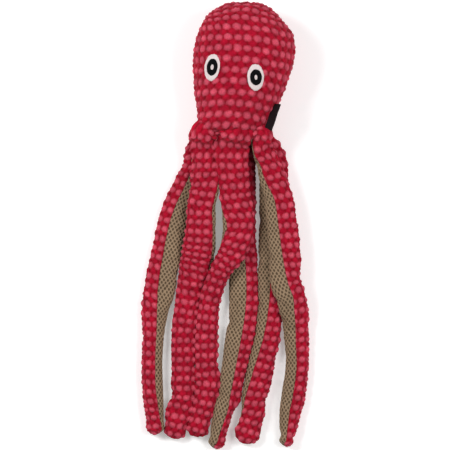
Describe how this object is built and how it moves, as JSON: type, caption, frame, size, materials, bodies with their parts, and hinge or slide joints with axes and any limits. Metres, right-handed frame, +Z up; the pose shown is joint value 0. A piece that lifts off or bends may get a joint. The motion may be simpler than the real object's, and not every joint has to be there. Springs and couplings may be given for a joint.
{
  "type": "plush octopus toy",
  "caption": "Stuffed plush octopus toy lying on its back, with a round head, embroidered eyes, a side label and long limp arms lined with net.",
  "frame": {"origin": "middle of the base of the bounding box, on the surface the toy lies on", "axes": "+X to the side away from the toy's own right hand, +Y to the crown of the head, +Z up out of the face"},
  "size_m": [0.1867, 0.4999, 0.0925],
  "materials": {
    "plush": "bumpy plush, pink dots on crimson",
    "net": "khaki spacer net",
    "filling": "polyester fibre",
    "eye_white": "satin stitch",
    "eye_black": "satin stitch",
    "label": "woven tape",
    "squeaker": "soft moulded"
  },
  "bodies": {
    "head": {"head_front_panel": "plush", "head_back_panel": "plush", "neck_closing_panel": "plush", "head_filling": "filling", "squeaker_bulb": "squeaker", "squeaker_reed": "squeaker", "side_label": "label", "eye_left_white": "eye_white", "eye_left_ring": "eye_black", "eye_left_centre": "eye_white", "eye_right_white": "eye_white", "eye_right_ring": "eye_black", "eye_right_centre": "eye_white", "arm_front_left_root": "plush", "arm_front_centre_root": "plush", "arm_front_right_root": "plush", "arm_back_left_root": "plush", "arm_back_centre_root": "plush", "arm_back_right_root": "plush"},
    "arm_front_left": {"arm_front_left_plush": "plush", "arm_front_left_mesh": "net", "arm_front_left_filling": "filling"},
    "arm_front_centre": {"arm_front_centre_plush": "plush", "arm_front_centre_mesh": "net", "arm_front_centre_filling": "filling"},
    "arm_front_right": {"arm_front_right_plush": "plush", "arm_front_right_mesh": "net", "arm_front_right_filling": "filling"},
    "arm_back_left": {"arm_back_left_plush": "plush", "arm_back_left_mesh": "net", "arm_back_left_filling": "filling"},
    "arm_back_centre": {"arm_back_centre_plush": "plush", "arm_back_centre_mesh": "net", "arm_back_centre_filling": "filling"},
    "arm_back_right": {"arm_back_right_plush": "plush", "arm_back_right_mesh": "net", "arm_back_right_filling": "filling"}
  },
  "joints": [
    {"name": "arm_front_left_lift", "type": "hinge", "parent": "head", "child": "arm_front_left", "pos_m": [-0.0236, 0.086, 0.034], "axis": [-1, 0, 0], "range_deg": [0, 70]},
    {"name": "arm_front_centre_lift", "type": "hinge", "parent": "head", "child": "arm_front_centre", "pos_m": [0.0084, 0.086, 0.036], "axis": [-1, 0, 0], "range_deg": [0, 70]},
    {"name": "arm_front_right_lift", "type": "hinge", "parent": "head", "child": "arm_front_right", "pos_m": [0.0436, 0.086, 0.034], "axis": [-1, 0, 0], "range_deg": [0, 70]},
    {"name": "arm_back_left_swing", "type": "hinge", "parent": "head", "child": "arm_back_left", "pos_m": [-0.029, 0.086, 0.011], "axis": [0, 0, -1], "range_deg": [0, 35]},
    {"name": "arm_back_centre_lift", "type": "hinge", "parent": "head", "child": "arm_back_centre", "pos_m": [0.019, 0.086, 0.011], "axis": [-1, 0, 0], "range_deg": [0, 42]},
    {"name": "arm_back_right_lift", "type": "hinge", "parent": "head", "child": "arm_back_right", "pos_m": [0.0495, 0.086, 0.011], "axis": [-1, 0, 0], "range_deg": [0, 42]}
  ],
  "couplings": [
    {"joint": "arm_back_centre_lift", "follows": "arm_front_centre_lift", "ratio": 0.6},
    {"joint": "arm_back_right_lift", "follows": "arm_front_right_lift", "ratio": 0.6}
  ]
}
